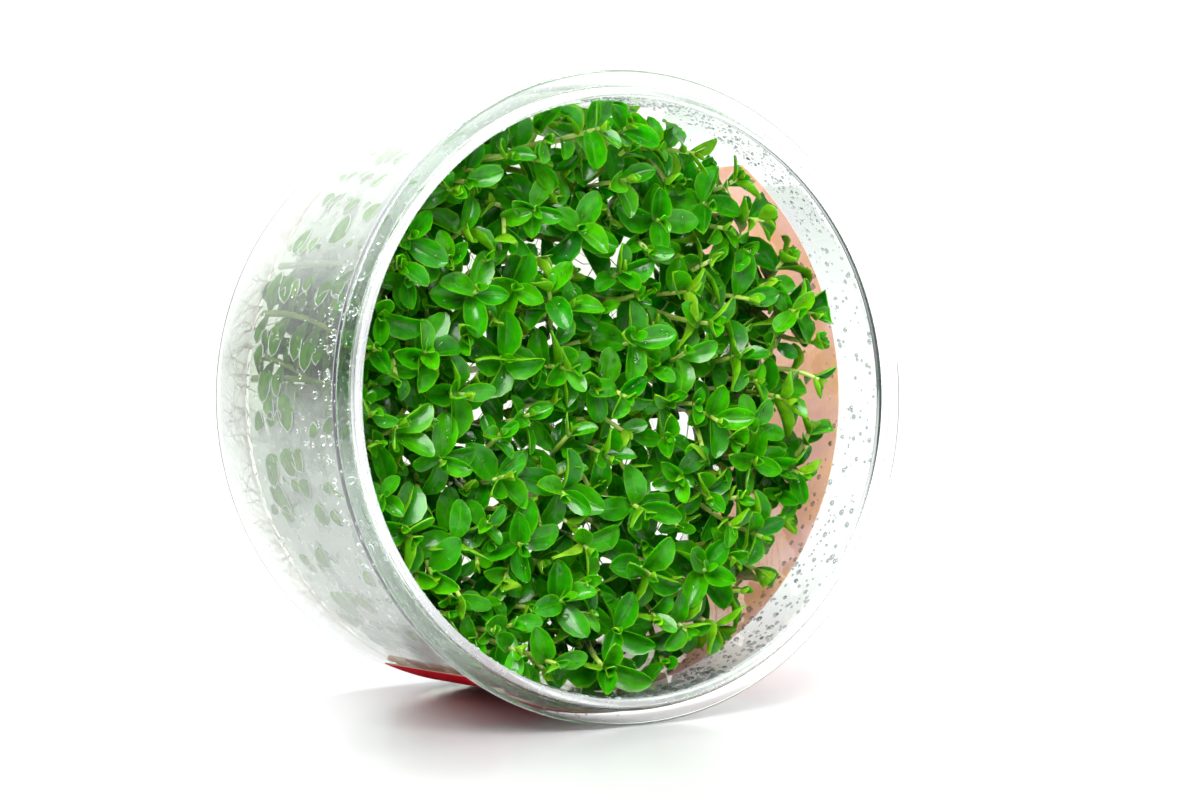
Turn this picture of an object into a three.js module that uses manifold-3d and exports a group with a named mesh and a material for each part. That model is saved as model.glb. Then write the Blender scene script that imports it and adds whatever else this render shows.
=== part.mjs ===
// Needle leaf ludwigia in its clear tissue-culture cup, which lies on its side with the mouth open.
// Millimetres. Each piece is drawn with the cup standing: axis on Z, underside of the base at z = 0.
// At the end the whole cup is laid down, with the mouth towards -Y and the floor at z = 0.
import * as THREE from 'three';
import Module from 'manifold-3d';
import { mergeVertices } from 'three/addons/utils/BufferGeometryUtils.js';

// Cup: an injection-moulded tub with a flat flange and a raised lip round the mouth
const SIDES = 48;
const CUP_HEIGHT = 52;
const FLANGE_RADIUS = 50;
const FLANGE_TOP = CUP_HEIGHT - 1.0;
const FLANGE_THICKNESS = 1.6;
const LIP_OUTER_RADIUS = 47.5;
const LIP_SLOPE = 0.15;
const MOUTH_RADIUS = 45.9;
const WALL = 0.9;
const BASE_RADIUS = 44.8;
const BASE_THICKNESS = 1.2;
const BASE_EDGE_HEIGHT = 1.4;
const BASE_EDGE_WIDTH = 1.0;
const SMALL_EDGE = 0.35;

// Gel: the nutrient jelly that fills the bottom of the cup, with a pocket for each stem
const GEL_TOP = 11.4;
const PIECE_GAP = 0.3;
const ROOT_DEPTH = 3;

// Label: a plain band stuck round one side of the wall
const LABEL_LOW = 6;
const LABEL_HIGH = 39;
const LABEL_THICKNESS = 0.2;
const LABEL_GAP = 0.08;
const LABEL_FIRST_SIDE = 33;
const LABEL_SIDES = 22;

// Shoots: stems with whorls of four pointed oval leaves, two crossed pairs to a whorl
const SHOOTS = 49;
const CROWN_RADIUS = 41.5;
const CROWN_HIGH = 47;
const CROWN_FALL = 5;
const CROWN_JITTER = 2.2;
const SPIRAL_JITTER = 0.16;
const STEM_RADIUS = 0.55;
const STEM_BOW = 4.5;
const STEM_BEND_SHARE = 0.68;
const WEAKEST_SHOOT = 0.78;
const STEM_SAMPLES = 30;
const ROOT_INSET = 0.9;
const STEM_FOOT_SHARE = 0.3;

// Whorls: their places are distances below the tip of the shoot
const INNER_WHORLS = [1.6, 6];
const OUTER_WHORLS = [1.6, 6, 14];
const OUTER_FROM = 31;
const WHORL_JITTER = 0.8;

// Leaves: young ones near the tip are shorter and stand up more steeply
const LEAF_LENGTH = 8.8;
const LEAF_YOUNG_LOSS = 4.2;
const LEAF_GROWTH = 0.4;
const LEAF_STEEPNESS = 0.75;
const LEAF_RELAX = 0.16;
const LEAF_WIDTH_SHARE = 0.56;
const LEAF_FOLD = 0.16;
const LEAF_BASE_HEIGHT = 0.7;
const LEAF_TURN_JITTER = 0.24;
const LEAF_RISE_JITTER = 0.3;
const LEAF_SIZE_JITTER = 0.2;

// Each leaf is tried a few times, turned, lifted and shortened, until it is clear of its neighbours
const LEAF_TRIES = 12;
const TRY_TURN = 0.15;
const TRY_LIFT = 0.2;
const TRY_SHRINK = 0.05;
const LEAF_ROWS = 8;
const LEAF_CLEARANCE = 0.55;
const WALL_CLEARANCE = 0.45;
const MOUTH_CLEARANCE = 1.5;
const NEIGHBOUR_REACH = 2.4 * LEAF_LENGTH;
const QUARTER_MARGIN = 0.12;

const FLANGE_BACK = FLANGE_TOP - FLANGE_THICKNESS;
const SIDE_ANGLE = (2 * Math.PI) / SIDES;
// The flats of every ring lie at its true radius, so its corners stand a little further out
const CORNER = 1 / Math.cos(SIDE_ANGLE / 2);
const GOLDEN_ANGLE = Math.PI * (3 - Math.sqrt(5));
// Corners of a leaf from its right side round the tip to its left side, as shares of length and width
const LEAF_OUTLINE = [[0.48, -0.5], [0.8, -0.34], [1, 0], [0.8, 0.34], [0.48, 0.5]];

const wasm = await Module();
wasm.setup();

function wallRadius(height) {
  const share = (height - BASE_EDGE_HEIGHT) / (FLANGE_BACK - BASE_EDGE_HEIGHT);
  return BASE_RADIUS + (MOUTH_RADIUS + WALL - BASE_RADIUS) * share;
}

function innerRadius(height) {
  return wallRadius(height) - WALL;
}

function look(color, roughness, opacity = 1) {
  return new THREE.MeshStandardMaterial({ color, roughness, metalness: 0, opacity, transparent: opacity < 1 });
}

function named(name, geometry, material) {
  const mesh = new THREE.Mesh(geometry, material);
  mesh.name = name;
  return mesh;
}

function toSolid(geometry) {
  const bare = geometry.clone();
  bare.deleteAttribute('normal');
  bare.deleteAttribute('uv');
  const merged = mergeVertices(bare, 1e-4);
  const vertProperties = Float32Array.from(merged.attributes.position.array);
  const triVerts = Uint32Array.from(merged.index.array);
  return new wasm.Manifold(new wasm.Mesh({ numProp: 3, vertProperties, triVerts }));
}

function toGeometry(solid) {
  const mesh = solid.getMesh();
  const geometry = new THREE.BufferGeometry();
  geometry.setAttribute('position', new THREE.Float32BufferAttribute(mesh.vertProperties, 3));
  geometry.setIndex(Array.from(mesh.triVerts));
  return geometry;
}

function turned(profile) {
  const points = profile.map(([radius, height]) => new THREE.Vector2(radius * CORNER, height));
  const geometry = new THREE.LatheGeometry(points, SIDES, -SIDE_ANGLE / 2, 2 * Math.PI);
  return geometry.rotateX(Math.PI / 2);
}

function cupGeometry() {
  return turned([
    [0, 0],
    [BASE_RADIUS - BASE_EDGE_WIDTH, 0],
    [BASE_RADIUS, BASE_EDGE_HEIGHT],
    [wallRadius(FLANGE_BACK - 2 * SMALL_EDGE), FLANGE_BACK - 2 * SMALL_EDGE],
    [wallRadius(FLANGE_BACK) + SMALL_EDGE, FLANGE_BACK],
    [FLANGE_RADIUS, FLANGE_BACK],
    [FLANGE_RADIUS, FLANGE_TOP - SMALL_EDGE],
    [FLANGE_RADIUS - SMALL_EDGE, FLANGE_TOP],
    [LIP_OUTER_RADIUS + LIP_SLOPE, FLANGE_TOP],
    [LIP_OUTER_RADIUS - LIP_SLOPE, CUP_HEIGHT - SMALL_EDGE],
    [LIP_OUTER_RADIUS - LIP_SLOPE - SMALL_EDGE, CUP_HEIGHT],
    [MOUTH_RADIUS + SMALL_EDGE, CUP_HEIGHT],
    [MOUTH_RADIUS, CUP_HEIGHT - SMALL_EDGE],
    [innerRadius(FLANGE_BACK), FLANGE_BACK],
    [innerRadius(2 * BASE_THICKNESS), 2 * BASE_THICKNESS],
    [innerRadius(BASE_THICKNESS) - BASE_EDGE_WIDTH, BASE_THICKNESS],
    [0, BASE_THICKNESS],
  ]);
}

function labelGeometry() {
  const inner = (height) => (wallRadius(height) + LABEL_GAP) * CORNER;
  const outer = (height) => (wallRadius(height) + LABEL_GAP + LABEL_THICKNESS) * CORNER;
  const section = [
    [inner(LABEL_LOW), LABEL_LOW],
    [outer(LABEL_LOW), LABEL_LOW],
    [outer(LABEL_HIGH), LABEL_HIGH],
    [inner(LABEL_HIGH), LABEL_HIGH],
  ];
  const positions = [];
  const indices = [];
  for (let ring = 0; ring <= LABEL_SIDES; ring += 1) {
    const angle = (LABEL_FIRST_SIDE + ring - 0.5) * SIDE_ANGLE;
    section.forEach(([radius, height]) => {
      positions.push(radius * Math.cos(angle), radius * Math.sin(angle), height);
    });
  }
  const quad = (a, b, c, d) => indices.push(a, b, c, a, c, d);
  for (let ring = 0; ring < LABEL_SIDES; ring += 1) {
    for (let corner = 0; corner < 4; corner += 1) {
      const next = (corner + 1) % 4;
      quad(ring * 4 + corner, ring * 4 + 4 + corner, ring * 4 + 4 + next, ring * 4 + next);
    }
  }
  const last = LABEL_SIDES * 4;
  quad(0, 1, 2, 3);
  quad(last + 3, last + 2, last + 1, last);
  const geometry = new THREE.BufferGeometry();
  geometry.setAttribute('position', new THREE.Float32BufferAttribute(positions, 3));
  geometry.setIndex(indices);
  return geometry;
}

// A share between 0 and 1, scattered but the same every time for the same two numbers
function chance(shoot, use) {
  const wave = Math.sin(shoot * 12.9898 + use * 78.233) * 43758.5453;
  return wave - Math.floor(wave);
}

// Stems stand in a sunflower spiral, reach higher on the -X side and bend sideways near the tip
function plantShoot(number) {
  const radius = CROWN_RADIUS * Math.sqrt((number + 0.5) / SHOOTS);
  const angle = number * GOLDEN_ANGLE + (chance(number, 1) - 0.5) * SPIRAL_JITTER;
  const x = radius * Math.cos(angle);
  const y = radius * Math.sin(angle);
  const fall = CROWN_FALL * (0.5 + x / (2 * CROWN_RADIUS));
  const tip = new THREE.Vector3(x, y, CROWN_HIGH - fall - CROWN_JITTER * chance(number, 2));
  const root = new THREE.Vector3(x * ROOT_INSET, y * ROOT_INSET, GEL_TOP - ROOT_DEPTH);
  const bowAngle = 2 * Math.PI * chance(number, 3);
  const bow = new THREE.Vector3(Math.cos(bowAngle), Math.sin(bowAngle), 0).multiplyScalar(STEM_BOW);
  const stem = new THREE.QuadraticBezierCurve3(root, root.clone().lerp(tip, STEM_BEND_SHARE).add(bow), tip);
  const stemSamples = stem.getSpacedPoints(STEM_SAMPLES);
  return { number, stem, stemSamples, outer: radius > OUTER_FROM, leaves: [], whorls: [] };
}

// How a leaf's length and steepness change with its distance below the tip of the shoot
function leafAge(belowTip) {
  return {
    length: LEAF_LENGTH - LEAF_YOUNG_LOSS * Math.exp(-LEAF_GROWTH * belowTip),
    rise: LEAF_STEEPNESS * Math.exp(-LEAF_RELAX * belowTip),
  };
}

// Each whorl is turned a little from the one above it
function whorlTurn(shoot, belowTip) {
  return 2 * Math.PI * chance(shoot.number, 4) + (chance(shoot.number, belowTip) - 0.5) * WHORL_JITTER;
}

// The direction at this angle round the stem, square to it
function sideways(angle, tangent) {
  const out = new THREE.Vector3(Math.cos(angle), Math.sin(angle), 0);
  return out.addScaledVector(tangent, -out.dot(tangent)).normalize();
}

function makeLeaf(shoot, belowTip, quarter, attempt) {
  const along = 1 - belowTip / shoot.stem.getLength();
  const foot = shoot.stem.getPointAt(along);
  const tangent = shoot.stem.getTangentAt(along);
  const { length, rise } = leafAge(belowTip + (quarter % 2));
  const seed = 10 * belowTip + quarter;
  const azimuth = whorlTurn(shoot, belowTip) + quarter * (Math.PI / 2)
    + (chance(shoot.number, seed) - 0.5) * LEAF_TURN_JITTER + ((attempt % 3) - 1) * TRY_TURN;
  const out = sideways(azimuth, tangent);
  const steep = rise + (chance(shoot.number, seed + 5) - 0.5) * LEAF_RISE_JITTER
    + Math.floor(attempt / 3) * TRY_LIFT;
  const ahead = out.clone().multiplyScalar(Math.cos(steep)).addScaledVector(tangent, Math.sin(steep));
  const up = tangent.clone().multiplyScalar(Math.cos(steep)).addScaledVector(out, -Math.sin(steep));
  const vigour = WEAKEST_SHOOT + (1 - WEAKEST_SHOOT) * chance(shoot.number, 5);
  const size = vigour * length * (1 + (chance(shoot.number, seed + 7) - 0.5) * LEAF_SIZE_JITTER)
    * (1 - TRY_SHRINK * attempt);
  return { foot, ahead, across: up.clone().cross(ahead), up, length: size, width: size * LEAF_WIDTH_SHARE };
}

function leafEdge(leaf) {
  return LEAF_OUTLINE.map(([ahead, aside]) => leaf.foot.clone()
    .addScaledVector(leaf.ahead, ahead * leaf.length)
    .addScaledVector(leaf.across, aside * leaf.width)
    .addScaledVector(leaf.up, Math.abs(aside) * LEAF_FOLD * leaf.width));
}

function leafSamples(leaf) {
  const points = [];
  for (let row = 1; row <= LEAF_ROWS; row += 1) {
    const share = row / LEAF_ROWS;
    const middle = leaf.foot.clone().addScaledVector(leaf.ahead, leaf.length * share);
    const half = (leaf.width / 2) * Math.sqrt(1 - (2 * share - 1) ** 2);
    [-half, 0, half].forEach((side) => points.push(middle.clone().addScaledVector(leaf.across, side)));
  }
  return points;
}

function touchesLeaf(point, leaf, clearance) {
  const offset = point.clone().sub(leaf.foot);
  if (Math.abs(offset.dot(leaf.up)) > clearance) return false;
  const a = (offset.dot(leaf.ahead) - leaf.length / 2) / (leaf.length / 2 + clearance);
  const b = offset.dot(leaf.across) / (leaf.width / 2 + clearance);
  return a * a + b * b < 1;
}

function insideCup(point) {
  const radius = Math.hypot(point.x, point.y);
  return radius < innerRadius(point.z) - WALL_CLEARANCE && point.z > GEL_TOP + WALL_CLEARANCE
    && point.z < CUP_HEIGHT - MOUTH_CLEARANCE;
}

function leafFits(leaf, shoot, shoots) {
  const samples = leafSamples(leaf);
  if (!samples.every(insideCup)) return false;
  return shoots.every((other) => {
    const near = other.leaves.filter((placed) => placed.foot.distanceTo(leaf.foot) < NEIGHBOUR_REACH);
    const crossed = near.some((placed) => (
      samples.some((point) => touchesLeaf(point, placed, LEAF_CLEARANCE))
      || placed.samples.some((point) => touchesLeaf(point, leaf, LEAF_CLEARANCE))));
    if (crossed) return false;
    if (other === shoot) return true;
    return !other.stemSamples.some((point) => touchesLeaf(point, leaf, LEAF_CLEARANCE + STEM_RADIUS));
  });
}

// Each leaf of a whorl stays in its own quarter round the stem, so the four never cross
function staysInQuarter(leaf, shoot, belowTip, quarter) {
  const tangent = shoot.stem.getTangentAt(1 - belowTip / shoot.stem.getLength());
  const angle = whorlTurn(shoot, belowTip) + quarter * (Math.PI / 2);
  const middle = sideways(angle, tangent);
  const side = sideways(angle + Math.PI / 2, tangent);
  return leafEdge(leaf).every((point) => {
    const offset = point.sub(leaf.foot);
    return offset.dot(middle) > Math.abs(offset.dot(side)) + QUARTER_MARGIN;
  });
}

function growWhorl(shoot, shoots, belowTip) {
  const leaves = [null, null, null, null];
  [0, 1, 2, 3].forEach((quarter) => {
    for (let attempt = 0; attempt < LEAF_TRIES && leaves[quarter] === null; attempt += 1) {
      const leaf = makeLeaf(shoot, belowTip, quarter, attempt);
      const fits = staysInQuarter(leaf, shoot, belowTip, quarter) && leafFits(leaf, shoot, shoots);
      if (fits) leaves[quarter] = leaf;
    }
  });
  const grown = leaves.filter((leaf) => leaf !== null);
  shoot.leaves.push(...grown.map((leaf) => ({ ...leaf, samples: leafSamples(leaf) })));
  shoot.whorls.push({ belowTip, leaves });
}

// Four corners round the stem, at 45 degrees to the leaves of the whorl
function stemRing(shoot, belowTip, turn) {
  const along = 1 - belowTip / shoot.stem.getLength();
  const middle = shoot.stem.getPointAt(along);
  const tangent = shoot.stem.getTangentAt(along);
  return [0, 1, 2, 3].map((corner) => {
    const angle = turn + (corner + 0.5) * (Math.PI / 2);
    return sideways(angle, tangent).multiplyScalar(STEM_RADIUS).add(middle);
  });
}

// A shoot is one closed skin: rings up the stem, and at each whorl a leaf drawn out of each side
function shootGeometry(shoot) {
  const points = [];
  const indices = [];
  const addPoints = (list) => list.map((point) => points.push(point) - 1);
  const face = (...corners) => {
    for (let i = 2; i < corners.length; i += 1) indices.push(corners[0], corners[i - 1], corners[i]);
  };
  const joinRings = (low, high) => {
    for (let c = 0; c < 4; c += 1) face(low[c], low[(c + 1) % 4], high[(c + 1) % 4], high[c]);
  };
  const drawLeaf = (leaf, low, high, quarter) => {
    const [lowRight, lowLeft] = [low[(quarter + 3) % 4], low[quarter]];
    const [highRight, highLeft] = [high[(quarter + 3) % 4], high[quarter]];
    if (leaf === null) {
      face(lowRight, lowLeft, highLeft, highRight);
      return;
    }
    const [right, farRight, tip, farLeft, left] = addPoints(leafEdge(leaf));
    face(highRight, right, farRight, tip, highLeft);
    face(highLeft, tip, farLeft, left);
    face(lowLeft, left, farLeft, tip, lowRight);
    face(lowRight, tip, farRight, right);
    face(lowRight, right, highRight);
    face(lowLeft, highLeft, left);
  };
  const length = shoot.stem.getLength();
  const lastWhorl = shoot.whorls[shoot.whorls.length - 1].belowTip;
  const turn = whorlTurn(shoot, lastWhorl);
  let below = addPoints(stemRing(shoot, length, turn));
  face(below[3], below[2], below[1], below[0]);
  const bend = addPoints(stemRing(shoot, (length + lastWhorl) / 2, turn));
  joinRings(below, bend);
  below = bend;
  [...shoot.whorls].reverse().forEach(({ belowTip, leaves }) => {
    const whorlAngle = whorlTurn(shoot, belowTip);
    const low = addPoints(stemRing(shoot, belowTip + LEAF_BASE_HEIGHT / 2, whorlAngle));
    const high = addPoints(stemRing(shoot, belowTip - LEAF_BASE_HEIGHT / 2, whorlAngle));
    joinRings(below, low);
    leaves.forEach((leaf, quarter) => drawLeaf(leaf, low, high, quarter));
    below = high;
  });
  const [bud] = addPoints([shoot.stem.getPointAt(1)]);
  for (let c = 0; c < 4; c += 1) face(below[c], below[(c + 1) % 4], bud);
  const geometry = new THREE.BufferGeometry().setFromPoints(points);
  geometry.setIndex(indices);
  return geometry;
}

// A square hole in the gel round the foot of a stem
function pocketSolid(shoot) {
  const root = shoot.stem.getPoint(0);
  const direction = shoot.stem.getPointAt(STEM_FOOT_SHARE).sub(root).normalize();
  const bottom = root.clone().addScaledVector(direction, -PIECE_GAP);
  const top = root.clone().addScaledVector(direction, ROOT_DEPTH + 4 * PIECE_GAP);
  const corner = (STEM_RADIUS + PIECE_GAP) * Math.SQRT2;
  const section = new THREE.Shape([
    new THREE.Vector2(corner, 0),
    new THREE.Vector2(0, corner),
    new THREE.Vector2(-corner, 0),
    new THREE.Vector2(0, -corner),
  ]);
  const extrudePath = new THREE.LineCurve3(bottom, top);
  return toSolid(new THREE.ExtrudeGeometry(section, { steps: 1, bevelEnabled: false, extrudePath }));
}

function gelSolid(shoots) {
  const low = BASE_THICKNESS + PIECE_GAP;
  const jelly = turned([
    [0, low],
    [innerRadius(low) - BASE_EDGE_WIDTH - 2 * PIECE_GAP, low],
    [innerRadius(2 * low) - PIECE_GAP, 2 * low],
    [innerRadius(GEL_TOP) - PIECE_GAP, GEL_TOP],
    [0, GEL_TOP],
  ]);
  return shoots.reduce((solid, shoot) => solid.subtract(pocketSolid(shoot)), toSolid(jelly));
}

const shoots = [];
for (let number = 0; number < SHOOTS; number += 1) shoots.push(plantShoot(number));
shoots.forEach((shoot) => {
  const levels = shoot.outer ? OUTER_WHORLS : INNER_WHORLS;
  levels.forEach((belowTip) => growWhorl(shoot, shoots, belowTip));
});

const leafLook = look(0x3f9a1e, 0.4);
const upright = new THREE.Group();
upright.add(named('cup', cupGeometry(), look(0xe8efec, 0.08, 0.35)));
upright.add(named('gel', toGeometry(gelSolid(shoots)), look(0xe6e4c8, 0.2, 0.6)));
upright.add(named('label', labelGeometry(), look(0xb3131c, 0.35)));
shoots.forEach((shoot) => {
  const name = `shoot_${String(shoot.number + 1).padStart(2, '0')}`;
  upright.add(named(name, shootGeometry(shoot), leafLook));
});

// Laid down: the cup rests on the back corner of its flange and on the edge of its base
const lean = Math.atan2(FLANGE_RADIUS - BASE_RADIUS, FLANGE_BACK - BASE_EDGE_HEIGHT);
upright.rotation.x = Math.PI / 2 - lean;
const part = new THREE.Group();
part.add(upright);
part.updateMatrixWorld(true);
const box = new THREE.Box3().setFromObject(part, true);
upright.position.set(-(box.min.x + box.max.x) / 2, -(box.min.y + box.max.y) / 2, -box.min.z);

export default part;
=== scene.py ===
"""Needle leaf ludwigia in its clear tissue-culture cup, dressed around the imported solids.

Sizes are millimetres in the frame of the standing cup: its axis is Z and the underside of its base is at
zero, as in the part's source. lay_down() turns a finished piece into metres and lays it down with the cup.
"""

import math
import random

import bmesh
import bpy
import numpy as np
from mathutils import Matrix, Vector


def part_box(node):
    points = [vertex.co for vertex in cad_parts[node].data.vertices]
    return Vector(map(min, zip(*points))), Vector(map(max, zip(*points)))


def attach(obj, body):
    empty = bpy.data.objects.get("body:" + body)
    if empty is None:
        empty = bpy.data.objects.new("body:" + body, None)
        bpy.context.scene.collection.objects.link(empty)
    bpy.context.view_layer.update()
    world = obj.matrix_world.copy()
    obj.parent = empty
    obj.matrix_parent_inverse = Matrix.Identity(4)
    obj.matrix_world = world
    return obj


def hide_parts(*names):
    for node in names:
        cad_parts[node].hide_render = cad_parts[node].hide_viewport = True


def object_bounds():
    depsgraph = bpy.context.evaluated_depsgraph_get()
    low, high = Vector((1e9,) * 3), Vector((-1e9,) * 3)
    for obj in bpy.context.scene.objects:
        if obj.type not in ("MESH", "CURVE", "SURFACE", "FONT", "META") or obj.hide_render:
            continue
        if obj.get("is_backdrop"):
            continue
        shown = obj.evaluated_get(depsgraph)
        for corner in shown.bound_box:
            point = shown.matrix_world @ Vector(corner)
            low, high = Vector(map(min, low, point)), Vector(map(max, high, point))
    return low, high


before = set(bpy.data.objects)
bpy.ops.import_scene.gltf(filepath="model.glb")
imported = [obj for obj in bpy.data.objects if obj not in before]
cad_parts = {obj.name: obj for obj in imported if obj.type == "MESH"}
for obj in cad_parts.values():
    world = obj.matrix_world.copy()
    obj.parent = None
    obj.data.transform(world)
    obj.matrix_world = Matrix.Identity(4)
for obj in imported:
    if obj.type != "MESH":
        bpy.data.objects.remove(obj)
cad_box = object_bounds()

# Cup, gel and label, with the driving sizes of the solids
FLANGE_RADIUS = 50
FLANGE_TOP = 51
FLANGE_THICKNESS = 1.6
CUP_HEIGHT = 52
LIP_OUTER_RADIUS = 47.5
LIP_SLOPE = 0.15
MOUTH_RADIUS = 45.9
WALL = 0.9
BASE_RADIUS = 44.8
BASE_THICKNESS = 1.2
BASE_EDGE_HEIGHT = 1.4
BASE_EDGE_WIDTH = 1.0
BASE_RECESS = 0.4
FOOT_RING_INSET = 4.5
SMALL_EDGE = 0.35
ROUND_STEPS = 144
CUP_CORNER = 20
CUP_BEVEL = 0.12
GEL_TOP = 11.4
GEL_GAP = 0.06
GEL_CREEP = 0.35
ROOT_DEPTH = 3
LABEL_LOW = 6
LABEL_HIGH = 39
LABEL_THICKNESS = 0.2
LABEL_GAP = 0.08
LABEL_START = math.radians(243.75)
LABEL_SWEEP = math.radians(165)
LABEL_STEPS = 88
FLANGE_BACK = FLANGE_TOP - FLANGE_THICKNESS

# Growth of the shoots, as in the solids
SHOOTS = 49
CROWN_RADIUS = 41.5
CROWN_HIGH = 47
CROWN_FALL = 5
CROWN_JITTER = 2.2
SPIRAL_JITTER = 0.16
STEM_RADIUS = 0.55
STEM_BOW = 4.5
STEM_BEND_SHARE = 0.68
WEAKEST_SHOOT = 0.78
STEM_SAMPLES = 30
STEM_SPANS = 9
ROOT_INSET = 0.9
INNER_WHORLS = [1.6, 6]
OUTER_WHORLS = [1.6, 6, 14]
OUTER_FROM = 31
WHORL_JITTER = 0.8
LEAF_LENGTH = 8.8
LEAF_YOUNG_LOSS = 4.2
LEAF_GROWTH = 0.4
LEAF_STEEPNESS = 0.75
LEAF_RELAX = 0.16
LEAF_WIDTH_SHARE = 0.56
LEAF_FOLD = 0.16
LEAF_TURN_JITTER = 0.24
LEAF_RISE_JITTER = 0.3
LEAF_SIZE_JITTER = 0.2
LEAF_TRIES = 12
TRY_TURN = 0.15
TRY_LIFT = 0.2
TRY_SHRINK = 0.05
LEAF_ROWS = 8
LEAF_CLEARANCE = 0.55
WALL_CLEARANCE = 0.45
MOUTH_CLEARANCE = 1.5
QUARTER_MARGIN = 0.12
GOLDEN_ANGLE = math.pi * (3 - math.sqrt(5))
LEAF_OUTLINE = [(0.48, -0.5), (0.8, -0.34), (1, 0), (0.8, 0.34), (0.48, 0.5)]

# Finer growth that only the dressed plant has: side shoots, bud leaves and older pairs
SEED = 11
PAIR_STEP = 1.3
SPRIGS = 132
SPRIG_CANDIDATES = 60
SPRIG_REACH = CROWN_RADIUS + 1.5
SPRIG_FOOT = 13
SPRIG_FOOT_SPREAD = 4
SPRIG_TOP_GAP = 0.5
SPRIG_DROP = 5.5
SPRIG_SWAY = 2.8
WEAKEST_SPRIG = 0.6
SPRIG_PAIRS = (1.0, 2.6, 5.0, 7.8, 10.5)
BUD_PAIR = 0.3
BUD_SIZE = 0.55
BUD_RISE = 0.45
BUD_CLEARANCE = 0.02
OLD_PAIRS = (3.7, 9.5, 12, 17)
OLDEST_PAIRS = (20, 23, 26, 29, 32)
LOWEST_PAIR = 1.5
FINE_CLEARANCE = 0.3
LEAF_THICKNESS = 0.24
LEAF_MARGIN = 0.12
STEM_MARGIN = 0.7
MOUTH_MARGIN = 0.5

# How a leaf's form and tone vary: pairs are the least and the most, and spreads are standard deviations
OLD_CURL = (-1.4, 0.1)
YOUNG_CURL = (-0.5, 0.55)
LEAST_CURL = 0.02
CUPPING = (0.1, 0.68)
ROLL_SPREAD = 0.48
BEND_SPREAD = 0.1
WAVING = (0, 0.035)
PRESSED_CURL = (0.05, 0.3)
PRESSED_CUPPING = (0, 0.12)
PRESSED_SPREAD = 0.12
PRESSED_WAVING = 0.01
OLD_TONE = 0.26
YOUNG_TONE_GAIN = 0.3
TONE_SPREAD = 0.14
TONE_AGEING = 0.25

# Side shoots close to the wall, runners up its inside, and a skirt of leafy stems just within the runners.
# An arc is its first angle and its width in degrees, and other pairs are the least and the most
RIM_SPRIGS = 20
RIM_ARC = (80, 190)
RIM_SHIFT = 0.6
RIM_TIP_RADII = (40.5, 43)
RIM_TIP_HEIGHTS = (45.5, 48.5)
RIM_VIGOUR = (0.8, 1)
RUNNERS = 20
RUNNER_ARC = (100, 160)
RUNNER_RADIUS = 42.6
RUNNER_LOW = GEL_TOP + 0.5
RUNNER_TIP_HEIGHTS = (30, 46)
RUNNER_SWAY = 5
RUNNER_VIGOUR = (0.75, 0.95)
RUNNER_PAIR_STEP = 3.6
PRESS_SLANT = 0.5
PRESSED_TURN = 1.5
PRESSED_SIZE = 0.65
PRESSED_SIZE_GAIN = 0.5
SKIRT_SHOOTS = 22
SKIRT_ARC = (115, 130)
SKIRT_RADIUS = 38.6
SKIRT_TIP_HEIGHTS = (34, 43)
SKIRT_SWAY = 2
SKIRT_VIGOUR = 0.85
SKIRT_PAIR_STEP = 2.8

# Each side shoot's number follows on from those of the kind before it
FIRST_RIM_SPRIG = SHOOTS + SPRIGS
FIRST_RUNNER = FIRST_RIM_SPRIG + RIM_SPRIGS
FIRST_SKIRT = FIRST_RUNNER + RUNNERS

# Root hairs in the jelly
HAIR_RADIUS = 0.11
INNER_HAIRS = 5
OUTER_HAIRS = 9
HAIR_STEPS = 9
HAIR_STEP = 1.7
HAIR_TURN_SPREAD = 0.35
HAIR_MARGIN = 0.5
HAIR_TOP = GEL_TOP - 0.6
HAIR_FLOOR = BASE_THICKNESS + 0.8
WALL_HAIRS = 130
WALL_HAIR_STEPS = 7
WALL_HAIR_ANGLES = (110, 250)
WALL_HAIR_RADII = (42.5, 43.9)
WALL_HAIR_LEAN_SPREAD = 0.012
WALL_HAIR_TURN_SPREAD = 0.006
WALL_HAIR_MARGIN = 0.4
WALL_HAIR_DROPS = (0.6, 1.6)
WALL_HAIR_FLOOR = BASE_THICKNESS + 0.6

# Water on the leaves, the flange and the wall
MENISCUS_RADIUS = 0.14
LEAF_DROPS = 1800
LEAF_DROP_PLACES = (0.25, 0.8)
LEAF_DROP_SIDE = 0.6
LEAF_DROP_LEAST = 0.12
LEAF_DROP_GAIN = 0.4
LEAF_DROP_STEEPNESS = 0.7
LEAF_DROP_MARGIN = 0.5
RIM_BEADS = 260
RIM_BEAD_ANGLES = (95, 265)
RIM_BEAD_RADII = (LIP_OUTER_RADIUS + 0.5, FLANGE_RADIUS - 0.6)
RIM_BEAD_SIZES = (0.07, 0.2)
RIM_BEAD_STEEPNESS = 0.6
DROP_LIFT = 0.01
MIST_GAP = 0.45
MIST_THICKNESS = 0.06
MIST_START = math.radians(94)
MIST_SWEEP = math.radians(172)
MIST_STEPS = 96

# Condensation on the inside of the wall, in zones: first and last angle in degrees, lowest and highest
# height, count, smallest and largest radius, steepness
MOUTH_DROPS = (
    (30, 108, 42, 50.5, 760, 0.12, 0.34, 0.9),
    (-25, 30, 37, 50.5, 150, 0.14, 0.55, 0.9),
    (-75, -25, 36, 50.5, 240, 0.2, 0.6, 0.8),
    (-118, -70, 42, 51, 200, 0.3, 1.0, 0.6),
)
LEFT_DROPS = (
    (100, 265, 13, 49, 620, 0.14, 0.4, 0.9),
    (145, 215, 36, 48, 110, 0.35, 0.85, 1.0),
    (215, 250, 14, 47, 420, 0.15, 0.4, 1.0),
    (95, 265, 48, 51.2, 420, 0.25, 0.6, 0.8),
)

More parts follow.
